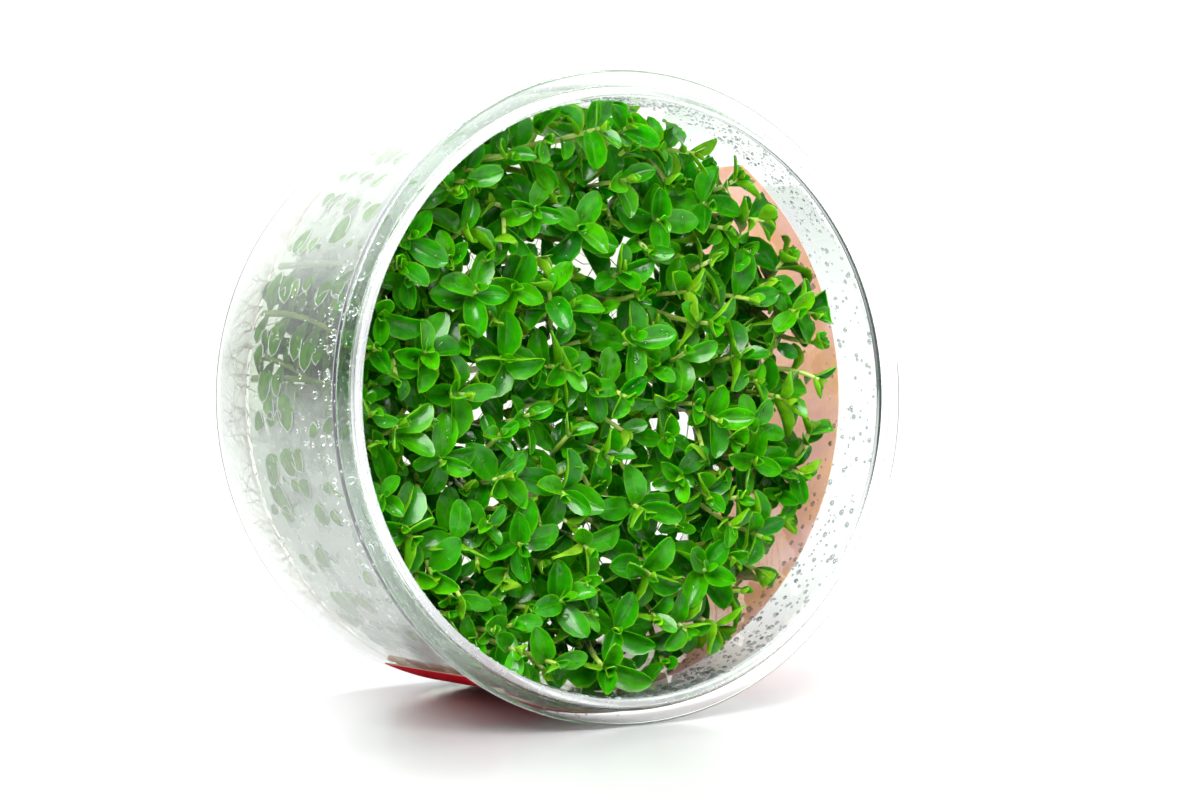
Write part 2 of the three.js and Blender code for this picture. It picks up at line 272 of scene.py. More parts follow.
# Leaf colours from the oldest to the youngest, on the upper face and on the paler olive underside
UPPER_TONES = ((0.0, "#0E7200"), (0.4, "#288C00"), (0.75, "#46A600"), (1.0, "#78C408"))
LOWER_TONES = ((0.0, "#428206"), (0.5, "#609A14"), (1.0, "#90C02C"))

# The lying cup rests on the back corner of its flange and on the edge of its base
LEAN = math.atan2(FLANGE_RADIUS - BASE_RADIUS, FLANGE_BACK - BASE_EDGE_HEIGHT)
CUP_LOW, CUP_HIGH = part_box("cup")
METRE = 0.001
BASE_CENTRE = Vector((
    0,
    CUP_HIGH.y - METRE * (BASE_RADIUS - BASE_EDGE_WIDTH) * math.sin(LEAN),
    CUP_LOW.z + METRE * (BASE_RADIUS * math.cos(LEAN) - BASE_EDGE_HEIGHT * math.sin(LEAN)),
))
LAID = (
    Matrix.Translation(BASE_CENTRE)
    @ Matrix.Rotation(math.pi / 2 - LEAN, 4, "X")
    @ Matrix.Scale(METRE, 4)
)

# Camera: a long lens a little above the mouth, from its left, with its distances in metres
LENS = 195
SENSOR = 36
VIEW_AZIMUTH = -30.6
VIEW_ELEVATION = 7.3
VIEW_DISTANCE = 0.987
VIEW_TARGET = Vector((-0.0052, -0.02568, 0.0500))

# Lamps: name, place, width and height in metres, and power in watts
LAMPS = (
    ("softbox", (-0.7, -0.85, 1.05), (1.1, 0.8), 38),
    ("overhead_strip", (0.25, 0.35, 1.3), (1.0, 0.25), 14),
)


def add_object(name, data):
    added = bpy.data.objects.new(name, data)
    bpy.context.scene.collection.objects.link(added)
    return added


def place_camera():
    data = bpy.data.cameras.new("camera")
    data.lens = LENS
    data.sensor_width = SENSOR
    data.clip_start = 0.01
    data.clip_end = 50
    camera = add_object("camera", data)
    azimuth = math.radians(VIEW_AZIMUTH)
    elevation = math.radians(VIEW_ELEVATION)
    back = Vector((
        math.sin(azimuth) * math.cos(elevation),
        -math.cos(azimuth) * math.cos(elevation),
        math.sin(elevation),
    ))
    camera.location = VIEW_TARGET + back * VIEW_DISTANCE
    camera.rotation_euler = back.to_track_quat("Z", "Y").to_euler()
    bpy.context.scene.camera = camera


def wall_radius(height):
    share = (height - BASE_EDGE_HEIGHT) / (FLANGE_BACK - BASE_EDGE_HEIGHT)
    return BASE_RADIUS + (MOUTH_RADIUS + WALL - BASE_RADIUS) * share


def inner_radius(height):
    return wall_radius(height) - WALL


# Materials

def linear(hex_colour):
    """An sRGB hex colour as linear red, green, blue and alpha."""
    levels = [int(hex_colour[i:i + 2], 16) / 255 for i in (1, 3, 5)]
    curve = [v / 12.92 if v <= 0.04045 else ((v + 0.055) / 1.055) ** 2.4 for v in levels]
    return (*curve, 1.0)


def per_metre(size_mm):
    """The scale of a pattern whose repeat is this many millimetres."""
    return 1 / (size_mm * METRE)


def add_node(tree, kind, values=None, links=None, stops=(), **settings):
    """Adds a node: settings are its properties, values its free sockets and links what feeds the others.

    Sockets go by name or number. A Map Range reads from 1 to 2 and gives from 3 to 4, and a Mix blends the
    colours 6 and 7 by the share in 0. What comes from a node as a whole is its first output. The stops of a
    colour ramp are pairs of place and hex colour, in order.
    """
    node = tree.nodes.new(kind)
    for name, value in settings.items():
        setattr(node, name, value)
    for socket, value in (values or {}).items():
        node.inputs[socket].default_value = value
    for socket, source in (links or {}).items():
        if isinstance(source, bpy.types.Node):
            source = source.outputs[0]
        tree.links.new(source, node.inputs[socket])
    for number, (place, colour) in enumerate(stops):
        elements = node.color_ramp.elements
        if number == len(elements):
            elements.new(1.0)
        elements[number].position = place
        elements[number].color = linear(colour)
    return node


def new_material(name, values):
    material = bpy.data.materials.new(name)
    material.use_nodes = True
    tree = material.node_tree
    tree.nodes.clear()
    shader = add_node(tree, "ShaderNodeBsdfPrincipled", values)
    add_node(tree, "ShaderNodeOutputMaterial", links={"Surface": shader})
    return material, tree, shader


def patterned_material(name, values):
    """A new material together with the Object coordinates that its patterns read."""
    material, tree, shader = new_material(name, values)
    position = add_node(tree, "ShaderNodeTexCoord").outputs["Object"]
    return material, tree, shader, position


def mottled_material(name, values, size_mm, detail, stops):
    """A material whose colour drifts between these stops in soft patches of this size."""
    material, tree, shader, position = patterned_material(name, values)
    patches = add_node(tree, "ShaderNodeTexNoise", {"Scale": per_metre(size_mm), "Detail": detail},
                       {"Vector": position})
    colour = add_node(tree, "ShaderNodeValToRGB", links={0: patches}, stops=stops)
    tree.links.new(colour.outputs[0], shader.inputs["Base Color"])
    return material


def set_relief(tree, shader, height, strength, depth_mm):
    """Raises the surface by a height pattern, this deep at its deepest."""
    relief = add_node(tree, "ShaderNodeBump", {"Strength": strength, "Distance": depth_mm * METRE},
                      {"Height": height})
    tree.links.new(relief.outputs[0], shader.inputs["Normal"])


def leaf_material(name, tones, wax_share):
    """Thin leaf tissue in these tones, glowing where light passes through, mottled partly with painted shade,
    with a painted highlight that pales its rim, and with some wax.
    """
    material, tree, shader, position = patterned_material(name, {
        "IOR": 1.4,
        "Specular IOR Level": 0.14 * wax_share,
        "Subsurface Weight": 0.7,
        "Subsurface Radius": (0.35, 1.0, 0.01),
        "Subsurface Scale": 1.1 * METRE,
        "Coat Weight": 0.5 * wax_share,
        "Coat Roughness": 0.16,
    })
    uv = add_node(tree, "ShaderNodeUVMap", uv_map="leaf")
    place = add_node(tree, "ShaderNodeSeparateXYZ", links={0: uv})
    across = add_node(tree, "ShaderNodeMath", {1: 2.0, 2: -1.0}, {0: place}, operation="MULTIPLY_ADD")
    aside = add_node(tree, "ShaderNodeMath", links={0: across}, operation="ABSOLUTE")
    midrib = add_node(tree, "ShaderNodeMapRange", {1: 0.0, 2: 0.11, 3: 1.0, 4: 0.0}, {0: aside})
    rim = add_node(tree, "ShaderNodeMapRange", {1: 0.86, 2: 1.0, 3: 0.0, 4: 0.25}, {0: aside})
    # Side veins leave the midrib at a slant, about six pairs to a leaf
    along = add_node(tree, "ShaderNodeMath", {1: 38.0}, {0: place.outputs[1]}, operation="MULTIPLY")
    slant = add_node(tree, "ShaderNodeMath", {1: -9.0}, {0: aside, 2: along}, operation="MULTIPLY_ADD")
    wave = add_node(tree, "ShaderNodeMath", links={0: slant}, operation="SINE")
    veins = add_node(tree, "ShaderNodeMapRange", {1: 0.7, 2: 1.0, 3: 0.0, 4: 1.0}, {0: wave})
    # The tissue is mottled in light and dark patches that are partly painted shade, is paler along the
    # midrib, and has its rim paled by a painted highlight
    tone = add_node(tree, "ShaderNodeAttribute", attribute_name="tone").outputs["Fac"]
    body = add_node(tree, "ShaderNodeValToRGB", links={0: tone}, stops=tones)
    mottle = add_node(tree, "ShaderNodeTexNoise", {"Scale": per_metre(2), "Detail": 4.0},
                      {"Vector": position})
    shade = add_node(tree, "ShaderNodeMapRange", {1: 0.3, 2: 0.7, 3: 0.6, 4: 1.25}, {0: mottle})
    body = add_node(tree, "ShaderNodeVectorMath", links={0: body, 1: shade}, operation="MULTIPLY")
    rib_share = add_node(tree, "ShaderNodeMath", {1: 0.14}, {0: midrib}, operation="MULTIPLY")
    ribbed = add_node(tree, "ShaderNodeMix", {7: linear("#86C830")}, {0: rib_share, 6: body},
                      data_type="RGBA")
    # The pale green mixed in at the rim is a painted highlight along the blade's edge
    rim_highlighted = add_node(tree, "ShaderNodeMix", {7: linear("#8FD23C")}, {0: rim, 6: ribbed.outputs[2]},
                      data_type="RGBA")
    tree.links.new(rim_highlighted.outputs[2], shader.inputs["Base Color"])
    # Wax lies unevenly, so the gloss comes in broad soft patches
    wax = add_node(tree, "ShaderNodeTexNoise", {"Scale": per_metre(3.2), "Detail": 2.0},
                   {"Vector": position})
    gloss = add_node(tree, "ShaderNodeMapRange", {1: 0.35, 2: 0.65, 3: 0.24, 4: 0.48}, {0: wax})
    tree.links.new(gloss.outputs[0], shader.inputs["Roughness"])
    # The midrib and veins are faintly sunk, and the skin between them is pebbled
    cells = add_node(tree, "ShaderNodeTexNoise", {"Scale": per_metre(0.35), "Detail": 2.0},
                     {"Vector": position})
    sunk = add_node(tree, "ShaderNodeMath", {1: 0.12}, {0: veins, 2: midrib}, operation="MULTIPLY_ADD")
    skin = add_node(tree, "ShaderNodeMath", {1: -1.0}, {0: sunk, 2: cells}, operation="MULTIPLY_ADD")
    set_relief(tree, shader, skin, strength=0.65, depth_mm=0.07)
    return material


def stem_material():
    """Juicy young stem: pale yellow-green, smooth and slightly see-through."""
    return mottled_material("pale_green_stem", {
        "Roughness": 0.38,
        "Subsurface Weight": 0.4,
        "Subsurface Radius": (0.8, 1.0, 0.3),
        "Subsurface Scale": 1.0 * METRE,
    }, size_mm=5, detail=3.0, stops=[(0.35, "#98BC3E"), (0.55, "#BAD666"), (0.7, "#D4E28E")])


def clear_plastic_material():
    """Injection-moulded clear polystyrene: glass-clear, with faint flow waves."""
    material, tree, shader, position = patterned_material("clear_polystyrene", {
        "Base Color": linear("#F6FBF9"),
        "Roughness": 0.02,
        "IOR": 1.55,
        "Transmission Weight": 1.0,
    })
    flow = add_node(tree, "ShaderNodeTexNoise", {"Scale": per_metre(9), "Detail": 1.0},
                    {"Vector": position})
    set_relief(tree, shader, flow, strength=0.25, depth_mm=0.12)
    return material


def mist_material():
    """Condensation too fine to model as drops: a grey-white veil in patches, thickest on the cup's left."""
    material, tree, shader, position = patterned_material("fine_condensation", {
        "Base Color": linear("#F2FAEE"),
        "IOR": 1.333,
    })
    patches = add_node(tree, "ShaderNodeTexNoise", {"Scale": per_metre(8), "Detail": 4.0},
                       {"Vector": position})
    patch = add_node(tree, "ShaderNodeMapRange", {1: 0.38, 2: 0.55, 3: 0.45}, {0: patches})
    place = add_node(tree, "ShaderNodeSeparateXYZ", links={0: position})
    height = place.outputs[2]
    # It is clear in a belt a little above half height and again near the floor
    above = add_node(tree, "ShaderNodeMath", {1: 59 * METRE}, {0: height}, operation="SUBTRACT")
    off_belt = add_node(tree, "ShaderNodeMath", links={0: above}, operation="ABSOLUTE")
    belt = add_node(tree, "ShaderNodeMapRange", {1: 6 * METRE, 2: 19 * METRE, 3: 0.08}, {0: off_belt})
    foot = add_node(tree, "ShaderNodeMapRange", {1: 7 * METRE, 2: 15 * METRE}, {0: height})
    # It thins out where the wall turns up and down
    fade = add_node(tree, "ShaderNodeMapRange", {1: -9 * METRE, 2: -22 * METRE}, {0: place})
    share = belt
    for factor in (foot, fade, patch):
        share = add_node(tree, "ShaderNodeMath", links={0: share, 1: factor}, operation="MULTIPLY")
    fog = add_node(tree, "ShaderNodeMapRange", {3: 0.03, 4: 0.32}, {0: share})
    tree.links.new(fog.outputs[0], shader.inputs["Roughness"])
    veil = add_node(tree, "ShaderNodeMapRange", {3: 1.0, 4: 0.4}, {0: share})
    tree.links.new(veil.outputs[0], shader.inputs["Transmission Weight"])
    # Beads of water a millimetre apart
    beads = add_node(tree, "ShaderNodeTexVoronoi", {"Scale": per_metre(1.1)}, {"Vector": position})
    set_relief(tree, shader, beads.outputs["Distance"], strength=0.5, depth_mm=0.12)
    return material


def lip_material():
    """The lip's moulded face: half clear and matt in patches, and white, a colour that partly paints in the
    light that the thick clear wall carries up to it.
    """
    material, tree, shader, position = patterned_material("white_lip_polystyrene", {
        "Base Color": linear("#F8F9FD"),
        "IOR": 1.55,
        "Transmission Weight": 0.7,
    })
    grit = add_node(tree, "ShaderNodeTexNoise", {"Scale": per_metre(2), "Detail": 2.0},
                    {"Vector": position})
    matt = add_node(tree, "ShaderNodeMapRange", {1: 0.35, 2: 0.65, 3: 0.15, 4: 0.32}, {0: grit})
    tree.links.new(matt.outputs[0], shader.inputs["Roughness"])
    return material


def gel_material(name, clearness):
    """Plant jelly set with gellan: watery, faintly yellow, and hazier where it sweats against the wall."""
    material, tree, shader, position = patterned_material(name, {
        "Base Color": linear("#FDFCF2"),
        "Roughness": 0.03,
        "IOR": 1.34,
        "Transmission Weight": clearness,
    })
    ripple = add_node(tree, "ShaderNodeTexNoise", {"Scale": per_metre(6), "Detail": 2.0},
                      {"Vector": position})
    set_relief(tree, shader, ripple, strength=0.3, depth_mm=0.2)
    return material


def water_material(name, colour):
    """Water in smooth drops. Those near the mouth have a grey tint, for the dark room they mirror."""
    return new_material(name, {
        "Base Color": linear(colour),
        "Roughness": 0.0,
        "IOR": 1.333,
        "Transmission Weight": 1.0,
    })[0]


def meniscus_material():
    """Water at a leaf's edge, its white colour a painted highlight for the light that its curve gathers."""
    return mottled_material("edge_water", {
        "Roughness": 0.1,
        "IOR": 1.333,
        "Transmission Weight": 0.35,
    }, size_mm=3, detail=2.0, stops=[(0.35, "#E6ECE8"), (0.65, "#FFFFFF")])


def root_material():
    """Fine root hairs: matt, and cream to pale brown."""
    return mottled_material("white_root_hair", {
        "Roughness": 0.5,
    }, size_mm=8, detail=2.0, stops=[(0.35, "#A89C6C"), (0.65, "#D8CFA4")])


def label_front_material():
    """Printed polypropylene film: an even deep red, matt, that lets some light through."""
    return mottled_material("red_printed_film", {
        "Roughness": 0.65,
        "Subsurface Weight": 0.8,
        "Subsurface Radius": (1.0, 0.2, 0.2),
        "Subsurface Scale": 3 * METRE,
        "Specular IOR Level": 0.02,
    }, size_mm=0.5, detail=2.0, stops=[(0.3, "#DC0A18"), (0.7, "#E81020")])


def label_back_material():
    """The glued back of the film: salmon, a colour that partly paints in the tint of the light coming through
    the red print, and it glows with the light that its subsurface scattering lets through.
    """
    return mottled_material("salmon_film_back", {
        "Roughness": 0.5,
        "Subsurface Weight": 1.0,
        "Subsurface Radius": (1.0, 0.6, 0.5),
        "Subsurface Scale": 3 * METRE,
    }, size_mm=11, detail=5.0, stops=[(0.4, "#F89268"), (0.6, "#F89C9C")])


def floor_material():
    """A white sheet with a faint sheen."""
    return mottled_material("white_floor_sheet", {
        "Roughness": 0.24,
        "Specular IOR Level": 0.5,
    }, size_mm=40, detail=2.0, stops=[(0.3, "#BABABA"), (0.7, "#BEBEBE")])


# Making pieces

def to_mesh(bm, name):
    mesh = bpy.data.meshes.new(name)
    bm.to_mesh(mesh)
    bm.free()
    return mesh


def lay_down(bm, name, materials, slot, *nodes, corner=50):
    """Turns a bmesh in millimetres into a piece of the lying cup, in metres, that rides on it.

    It is smooth but for its edges of more than corner degrees.
    """
    bmesh.ops.transform(bm, matrix=LAID, verts=bm.verts)
    mesh = to_mesh(bm, name)
    for polygon in mesh.polygons:
        polygon.use_smooth = True
    mesh.set_sharp_from_angle(angle=math.radians(corner))
    for material in materials:
        mesh.materials.append(material)
    piece = add_object(name, mesh)
    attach(piece, "root")
    if nodes:
        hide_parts(*nodes)


def spin_profile(profile, steps, closed=False, start=0.0, sweep=2 * math.pi):
    """A bmesh of an outline of (radius, height) points turned round the cup's axis."""
    bm = bmesh.new()
    turned = Matrix.Rotation(start, 3, "Z")
    verts = [bm.verts.new(turned @ Vector((radius, 0, height))) for radius, height in profile]
    edges = [bm.edges.new(pair) for pair in zip(verts, verts[1:])]
    if closed:
        edges.append(bm.edges.new((verts[-1], verts[0])))
    full = sweep > 2 * math.pi - 0.001
    bmesh.ops.spin(bm, geom=verts + edges, cent=(0, 0, 0), axis=(0, 0, 1), angle=sweep, steps=steps,
                   use_merge=full)
    if full:
        bmesh.ops.remove_doubles(bm, verts=bm.verts, dist=0.001)
    return bm


def make_cup(plastic, white_lip):
    foot_ring = BASE_RADIUS - FOOT_RING_INSET
    profile = [
        (0, BASE_RECESS),
        (foot_ring - BASE_RECESS, BASE_RECESS),
        (foot_ring, 0),
        (BASE_RADIUS - BASE_EDGE_WIDTH, 0),
        (BASE_RADIUS, BASE_EDGE_HEIGHT),
        (wall_radius(FLANGE_BACK - 2 * SMALL_EDGE), FLANGE_BACK - 2 * SMALL_EDGE),
        (wall_radius(FLANGE_BACK) + SMALL_EDGE, FLANGE_BACK),
        (FLANGE_RADIUS, FLANGE_BACK),
        (FLANGE_RADIUS, FLANGE_TOP - SMALL_EDGE),
        (FLANGE_RADIUS - SMALL_EDGE, FLANGE_TOP),
        (LIP_OUTER_RADIUS + LIP_SLOPE, FLANGE_TOP),
        (LIP_OUTER_RADIUS - LIP_SLOPE, CUP_HEIGHT - SMALL_EDGE),
        (LIP_OUTER_RADIUS - LIP_SLOPE - SMALL_EDGE, CUP_HEIGHT),
        (MOUTH_RADIUS + SMALL_EDGE, CUP_HEIGHT),
        (MOUTH_RADIUS, CUP_HEIGHT - SMALL_EDGE),
        (inner_radius(FLANGE_BACK), FLANGE_BACK),
        (inner_radius(GEL_TOP + 1), GEL_TOP + 1),
        (inner_radius(2 * BASE_THICKNESS), 2 * BASE_THICKNESS),
        (inner_radius(BASE_THICKNESS) - BASE_EDGE_WIDTH, BASE_THICKNESS),
        (0, BASE_THICKNESS),
    ]
    bm = spin_profile(profile, ROUND_STEPS)
    bmesh.ops.recalc_face_normals(bm, faces=bm.faces)
    corner = math.radians(CUP_CORNER)
    rings = [edge for edge in bm.edges if edge.is_manifold and edge.calc_face_angle() > corner]
    bmesh.ops.bevel(bm, geom=rings, offset=CUP_BEVEL, affect="EDGES", segments=2, profile=0.5, material=-1)
    # Only the lip's top face is white, with its painted light
    for face in bm.faces:
        if face.calc_center_median().z > CUP_HEIGHT - SMALL_EDGE - 0.01:
            face.material_index = 1
    lay_down(bm, "clear_cup", [plastic, white_lip], "clear_plastic", "cup", corner=CUP_CORNER)


def wall_band(low, high, near, far, steps, start, sweep):
    """A bmesh of a closed band along the wall, between two heights and two distances from its outer face."""
    profile = [
        (wall_radius(low) + near, low),
        (wall_radius(low) + far, low),
        (wall_radius(high) + far, high),
        (wall_radius(high) + near, high),
    ]
    bm = spin_profile(profile, steps, closed=True, start=start, sweep=sweep)
    ends = [edge for edge in bm.edges if edge.is_boundary]
    bmesh.ops.holes_fill(bm, edges=ends, sides=4)
    bmesh.ops.recalc_face_normals(bm, faces=bm.faces)
    return bm


def make_mist(look):
    """A thin film up the inside of the left wall, which the leaves pressed to the wall come through."""
    near = -WALL - MIST_GAP
    bm = wall_band(GEL_TOP + 1, FLANGE_BACK, near, near - MIST_THICKNESS, MIST_STEPS, MIST_START, MIST_SWEEP)
    lay_down(bm, "wall_mist", [look], None)


def make_gel(clear, hazy):
    low = BASE_THICKNESS + GEL_GAP
    # The jelly creeps a little way up the wall
    profile = [
        (0, low),
        (inner_radius(low) - BASE_EDGE_WIDTH - 0.2, low),
        (inner_radius(2 * low) - GEL_GAP, 2 * low),
        (inner_radius(GEL_TOP + GEL_CREEP) - GEL_GAP, GEL_TOP + GEL_CREEP),
        (inner_radius(GEL_TOP) - 0.5, GEL_TOP + 0.1),
        (inner_radius(GEL_TOP) - 1.2, GEL_TOP),
        (0, GEL_TOP),
    ]
    bm = spin_profile(profile, ROUND_STEPS)
    bmesh.ops.recalc_face_normals(bm, faces=bm.faces)
    for face in bm.faces:
        face.material_index = 1 if abs(face.normal.z) < 0.5 else 0
    lay_down(bm, "gellan_jelly", [clear, hazy], "gel", "gel")


def make_label(front, back):
    bm = wall_band(LABEL_LOW, LABEL_HIGH, LABEL_GAP, LABEL_GAP + LABEL_THICKNESS, LABEL_STEPS, LABEL_START,
                   LABEL_SWEEP)
    for face in bm.faces:
        centre = face.calc_center_median()
        outward = Vector((centre.x, centre.y, 0)).normalized()
        face.material_index = 1 if face.normal.dot(outward) < 0.5 else 0
    lay_down(bm, "plain_label", [front, back], "label", "label")


# Growth

def chance(shoot, use):
    """A share between 0 and 1, scattered but the same every time for the same two numbers."""
    wave = math.sin(shoot * 12.9898 + use * 78.233) * 43758.5453
    return wave - math.floor(wave)


def unit(vector):
    return vector / np.linalg.norm(vector)


def level(angle):
    """The level direction at this angle round the cup's axis."""
    return np.array([math.cos(angle), math.sin(angle), 0.0])


def spot_at(side, radius, height):
    """The point on this level side of the cup's axis, this far from it and this high."""
    return side * radius + np.array([0, 0, height])


class Stem:
    """The centre line of a stem, one quadratic curve, read by the distance below its tip."""

    def __init__(self, root, middle, tip):
        self.root, self.middle, self.tip = root, middle, tip
        self.shares = np.linspace(0, 1, 201)
        points = np.array([self.point(share) for share in self.shares])
        steps = np.linalg.norm(np.diff(points, axis=0), axis=1)
        self.walked = np.concatenate([[0], np.cumsum(steps)])
        self.length = self.walked[-1]

    def point(self, share):
        rest = 1 - share
        return self.root * rest ** 2 + self.middle * 2 * share * rest + self.tip * share ** 2

    def share_below(self, below_tip):
        return np.interp(self.length - below_tip, self.walked, self.shares)

    def at(self, below_tip):
        return self.point(self.share_below(below_tip))

    def tangent(self, below_tip):
        share = self.share_below(below_tip)
        return unit((self.middle - self.root) * (1 - share) + (self.tip - self.middle) * share)

    def spaced(self, count):
        return np.array([self.at(self.length * (1 - i / count)) for i in range(count + 1)])


class Shoot:
    """A stem, how strongly it grows, the number that sets its chances, and its main shoot's number."""

    def __init__(self, number, stem, vigour, owner):
        self.number, self.stem, self.vigour, self.owner = number, stem, vigour, owner
        self.samples = stem.spaced(STEM_SAMPLES)
        self.radius = math.hypot(*stem.tip[:2])


def crown_height(x):
    return CROWN_HIGH - CROWN_FALL * (0.5 + x / (2 * CROWN_RADIUS))


def plant_shoot(number):
    radius = CROWN_RADIUS * math.sqrt((number + 0.5) / SHOOTS)
    angle = number * GOLDEN_ANGLE + (chance(number, 1) - 0.5) * SPIRAL_JITTER
    x = radius * math.cos(angle)
    y = radius * math.sin(angle)
    tip = np.array([x, y, crown_height(x) - CROWN_JITTER * chance(number, 2)])
    root = np.array([x * ROOT_INSET, y * ROOT_INSET, GEL_TOP - ROOT_DEPTH])
    bow_angle = 2 * math.pi * chance(number, 3)
    middle = root + (tip - root) * STEM_BEND_SHARE + STEM_BOW * level(bow_angle)
    vigour = WEAKEST_SHOOT + (1 - WEAKEST_SHOOT) * chance(number, 5)
    return Shoot(number, Stem(root, middle, tip), vigour, number)


def whorl_turn(shoot, below_tip):
    return 2 * math.pi * chance(shoot.number, 4) + (chance(shoot.number, below_tip) - 0.5) * WHORL_JITTER


def sideways(angle, tangent):
    """The direction at this angle round a stem, square to it."""
    out = level(angle)
    return unit(out - tangent * out.dot(tangent))


class Leaf:
    """A leaf's place, directions and size."""

    def __init__(self, shoot, below_tip, quarter, attempt, size=1.0, extra_rise=0.0, pressed=False):
        self.owner = shoot.owner
        self.pressed = pressed
        self.foot = shoot.stem.at(below_tip)
        self.age = below_tip + quarter % 2
        tangent = shoot.stem.tangent(below_tip)
        seed = 10 * below_tip + quarter
        azimuth = whorl_turn(shoot, below_tip) + quarter * math.pi / 2
        if pressed:
            azimuth = math.atan2(self.foot[1], self.foot[0]) + math.pi / 2 + quarter // 2 * math.pi
            azimuth += (chance(shoot.number, seed + 3) - 0.5) * PRESSED_TURN
            size = PRESSED_SIZE + PRESSED_SIZE_GAIN * chance(shoot.number, seed + 9)
        azimuth += (chance(shoot.number, seed) - 0.5) * LEAF_TURN_JITTER + (attempt % 3 - 1) * TRY_TURN
        out = sideways(azimuth, tangent)
        steep = LEAF_STEEPNESS * math.exp(-LEAF_RELAX * self.age) + extra_rise
        steep += (chance(shoot.number, seed + 5) - 0.5) * LEAF_RISE_JITTER + attempt // 3 * TRY_LIFT
        self.ahead = out * math.cos(steep) + tangent * math.sin(steep)
        self.up = tangent * math.cos(steep) - out * math.sin(steep)
        if pressed:
            # All but its foot lies along the wall
            outward = unit(np.array([self.foot[0], self.foot[1], 0]))
            self.ahead = unit(unit(self.ahead - outward * self.ahead.dot(outward)) + outward * PRESS_SLANT)
            self.up = unit(self.ahead * self.ahead.dot(outward) - outward)
        self.across = np.cross(self.up, self.ahead)
        length = LEAF_LENGTH - LEAF_YOUNG_LOSS * math.exp(-LEAF_GROWTH * self.age)
        length *= 1 + (chance(shoot.number, seed + 7) - 0.5) * LEAF_SIZE_JITTER
        self.length = length * shoot.vigour * (1 - TRY_SHRINK * attempt) * size
        self.width = self.length * LEAF_WIDTH_SHARE
        rows = np.arange(1, LEAF_ROWS + 1) / LEAF_ROWS
        half = self.width / 2 * np.sqrt(1 - (2 * rows - 1) ** 2)
        middle = self.foot + np.outer(rows * self.length, self.ahead)
        self.samples = np.concatenate([middle + np.outer(half * side, self.across) for side in (-1, 0, 1)])

    def stays_in_quarter(self, shoot, below_tip, quarter):
        """Whether the plain leaf keeps to its own quarter round the stem, as it does in the solids."""
        tangent = shoot.stem.tangent(below_tip)
        angle = whorl_turn(shoot, below_tip) + quarter * math.pi / 2
        middle = sideways(angle, tangent)
        side = sideways(angle + math.pi / 2, tangent)
        for along, aside in LEAF_OUTLINE:
            corner = self.ahead * along * self.length + self.across * aside * self.width
            corner = corner + self.up * abs(aside) * LEAF_FOLD * self.width
            if corner.dot(middle) <= abs(corner.dot(side)) + QUARTER_MARGIN:
                return False
        return True


def touched(points, frames, sizes, clearance):
    """Which points come within the clearance of a leaf, given as foot, ahead, across and up, and its size."""
    offset = points - frames[..., 0, :]
    ahead, across, up = ((offset * frames[..., i, :]).sum(-1) for i in (1, 2, 3))
    half_length = sizes[..., 0] / 2
    a = (ahead - half_length) / (half_length + clearance)
    b = across / (sizes[..., 1] / 2 + clearance)
    return (np.abs(up) <= clearance) & (a * a + b * b < 1)


class Thicket:
    """All the leaves and stems grown so far, against which each new leaf is tested."""

    def __init__(self, shoots):
        self.leaves = []
        self.frames = np.zeros((0, 4, 3))
        self.sizes = np.zeros((0, 2))
        self.samples = np.zeros((0, 3 * LEAF_ROWS, 3))
        self.set_shoots(shoots)

    def set_shoots(self, shoots):
        self.places = {shoot.number: place for place, shoot in enumerate(shoots)}
        self.stems = np.array([shoot.samples for shoot in shoots])

    def add(self, leaves):
        if leaves:
            frames = [(leaf.foot, leaf.ahead, leaf.across, leaf.up) for leaf in leaves]
            self.leaves.extend(leaves)
            self.frames = np.concatenate([self.frames, frames])
            self.sizes = np.concatenate([self.sizes, [(leaf.length, leaf.width) for leaf in leaves]])
            self.samples = np.concatenate([self.samples, [leaf.samples for leaf in leaves]])

    def fits(self, leaf, shoot, clearance, as_solid):
        height = leaf.samples[:, 2]
        radius = np.hypot(leaf.samples[:, 0], leaf.samples[:, 1])
        if as_solid and (radius >= inner_radius(height) - WALL_CLEARANCE).any():
            return False
        if (height <= GEL_TOP + WALL_CLEARANCE).any() or (height >= CUP_HEIGHT - MOUTH_CLEARANCE).any():
            return False
        frame_here = np.array([leaf.foot, leaf.ahead, leaf.across, leaf.up])
        size_here = np.array([leaf.length, leaf.width])
        reach = self.sizes[:, 0] + leaf.length + 2 * clearance
        near = np.linalg.norm(self.frames[:, 0] - leaf.foot, axis=1) < reach
        frames_near = self.frames[near][:, None]
        sizes_near = self.sizes[near][:, None]
        if touched(leaf.samples[None], frames_near, sizes_near, clearance).any():
            return False
        if touched(self.samples[near], frame_here, size_here, clearance).any():
            return False
        stems = touched(self.stems, frame_here, size_here, clearance + STEM_RADIUS)
        stems[self.places[shoot.number]] = False
        return not stems.any()

    def grow(self, shoot, below_tip, quarters, clearance, as_solid=False, size=1.0, extra_rise=0.0,
             pressed=False):
        """One whorl: each leaf takes the first of its tries that is clear, or is left out."""
        grown = []
        for quarter in quarters:
            for attempt in range(LEAF_TRIES):
                leaf = Leaf(shoot, below_tip, quarter, attempt, size, extra_rise, pressed)
                placed = not as_solid or leaf.stays_in_quarter(shoot, below_tip, quarter)
                if placed and self.fits(leaf, shoot, clearance, as_solid):
                    if as_solid and quarter % 2:
                        # In the finer plant the second pair of a whorl sits lower on the stem
                        leaf.foot = shoot.stem.at(below_tip + PAIR_STEP)
                    grown.append(leaf)
                    break
        self.add(grown)

    def grow_pairs(self, shoot, places, pressed=False):
        """Pairs of leaves at these distances below the tip, each pair crossed over the one above it."""
        for step, below_tip in enumerate(places):
            if below_tip < shoot.stem.length - LOWEST_PAIR:
                quarters = (1, 3) if step % 2 else (0, 2)
                self.grow(shoot, below_tip, quarters, FINE_CLEARANCE, pressed=pressed)


